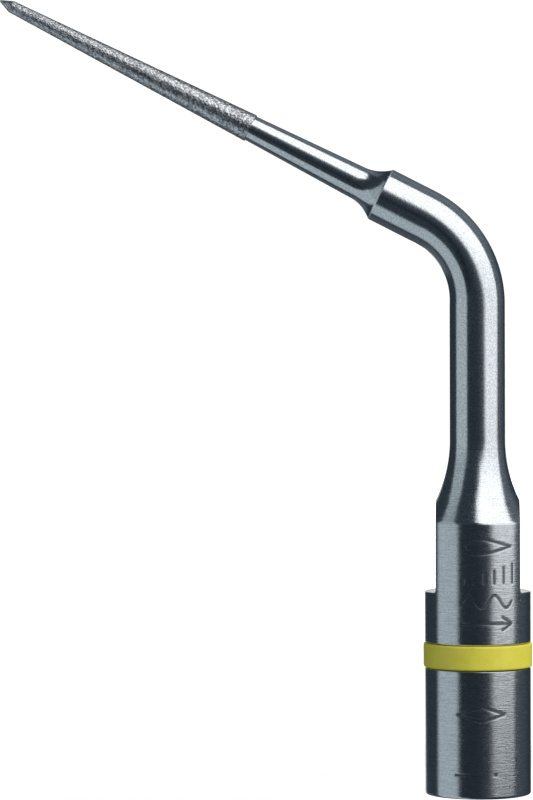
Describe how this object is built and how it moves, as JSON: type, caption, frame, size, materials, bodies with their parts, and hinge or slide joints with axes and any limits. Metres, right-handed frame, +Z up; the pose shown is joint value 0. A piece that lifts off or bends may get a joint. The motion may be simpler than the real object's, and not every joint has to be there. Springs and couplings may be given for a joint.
{
  "type": "ultrasonic scaler tip",
  "caption": "Screw-on ultrasonic scaler tip: bent steel shank on a round base with wrench flats, a yellow colour ring in a groove, and a long tapered diamond-coated working end.",
  "frame": {"origin": "centre of the seat face, the flat annular bottom of the base, on the axis of the thread", "axes": "+Z up the screw axis from the seat face to the shank; the tip leans towards -X and its bend lies in the XZ plane; -Y is the marked front of the base"},
  "size_m": [0.0255, 0.0052, 0.0381],
  "materials": {
    "turned_steel": "fine-turned and tumbled stainless steel, satin to bright, with turning lines round the base and the taper",
    "yellow_plastic": "satin, with softly rounded edges",
    "diamond_layer": "nickel-bonded diamond grit: rough, grey, and glittering"
  },
  "bodies": {
    "tip": {"tip_body": "turned_steel", "diamond_coating": "diamond_layer"},
    "ring": {"colour_ring": "yellow_plastic"}
  },
  "joints": [
    {"name": "ring_turn", "type": "hinge", "parent": "tip", "child": "ring", "pos_m": [0, 0, 0.00666], "axis": [0, 0, 1], "continuous": true}
  ]
}
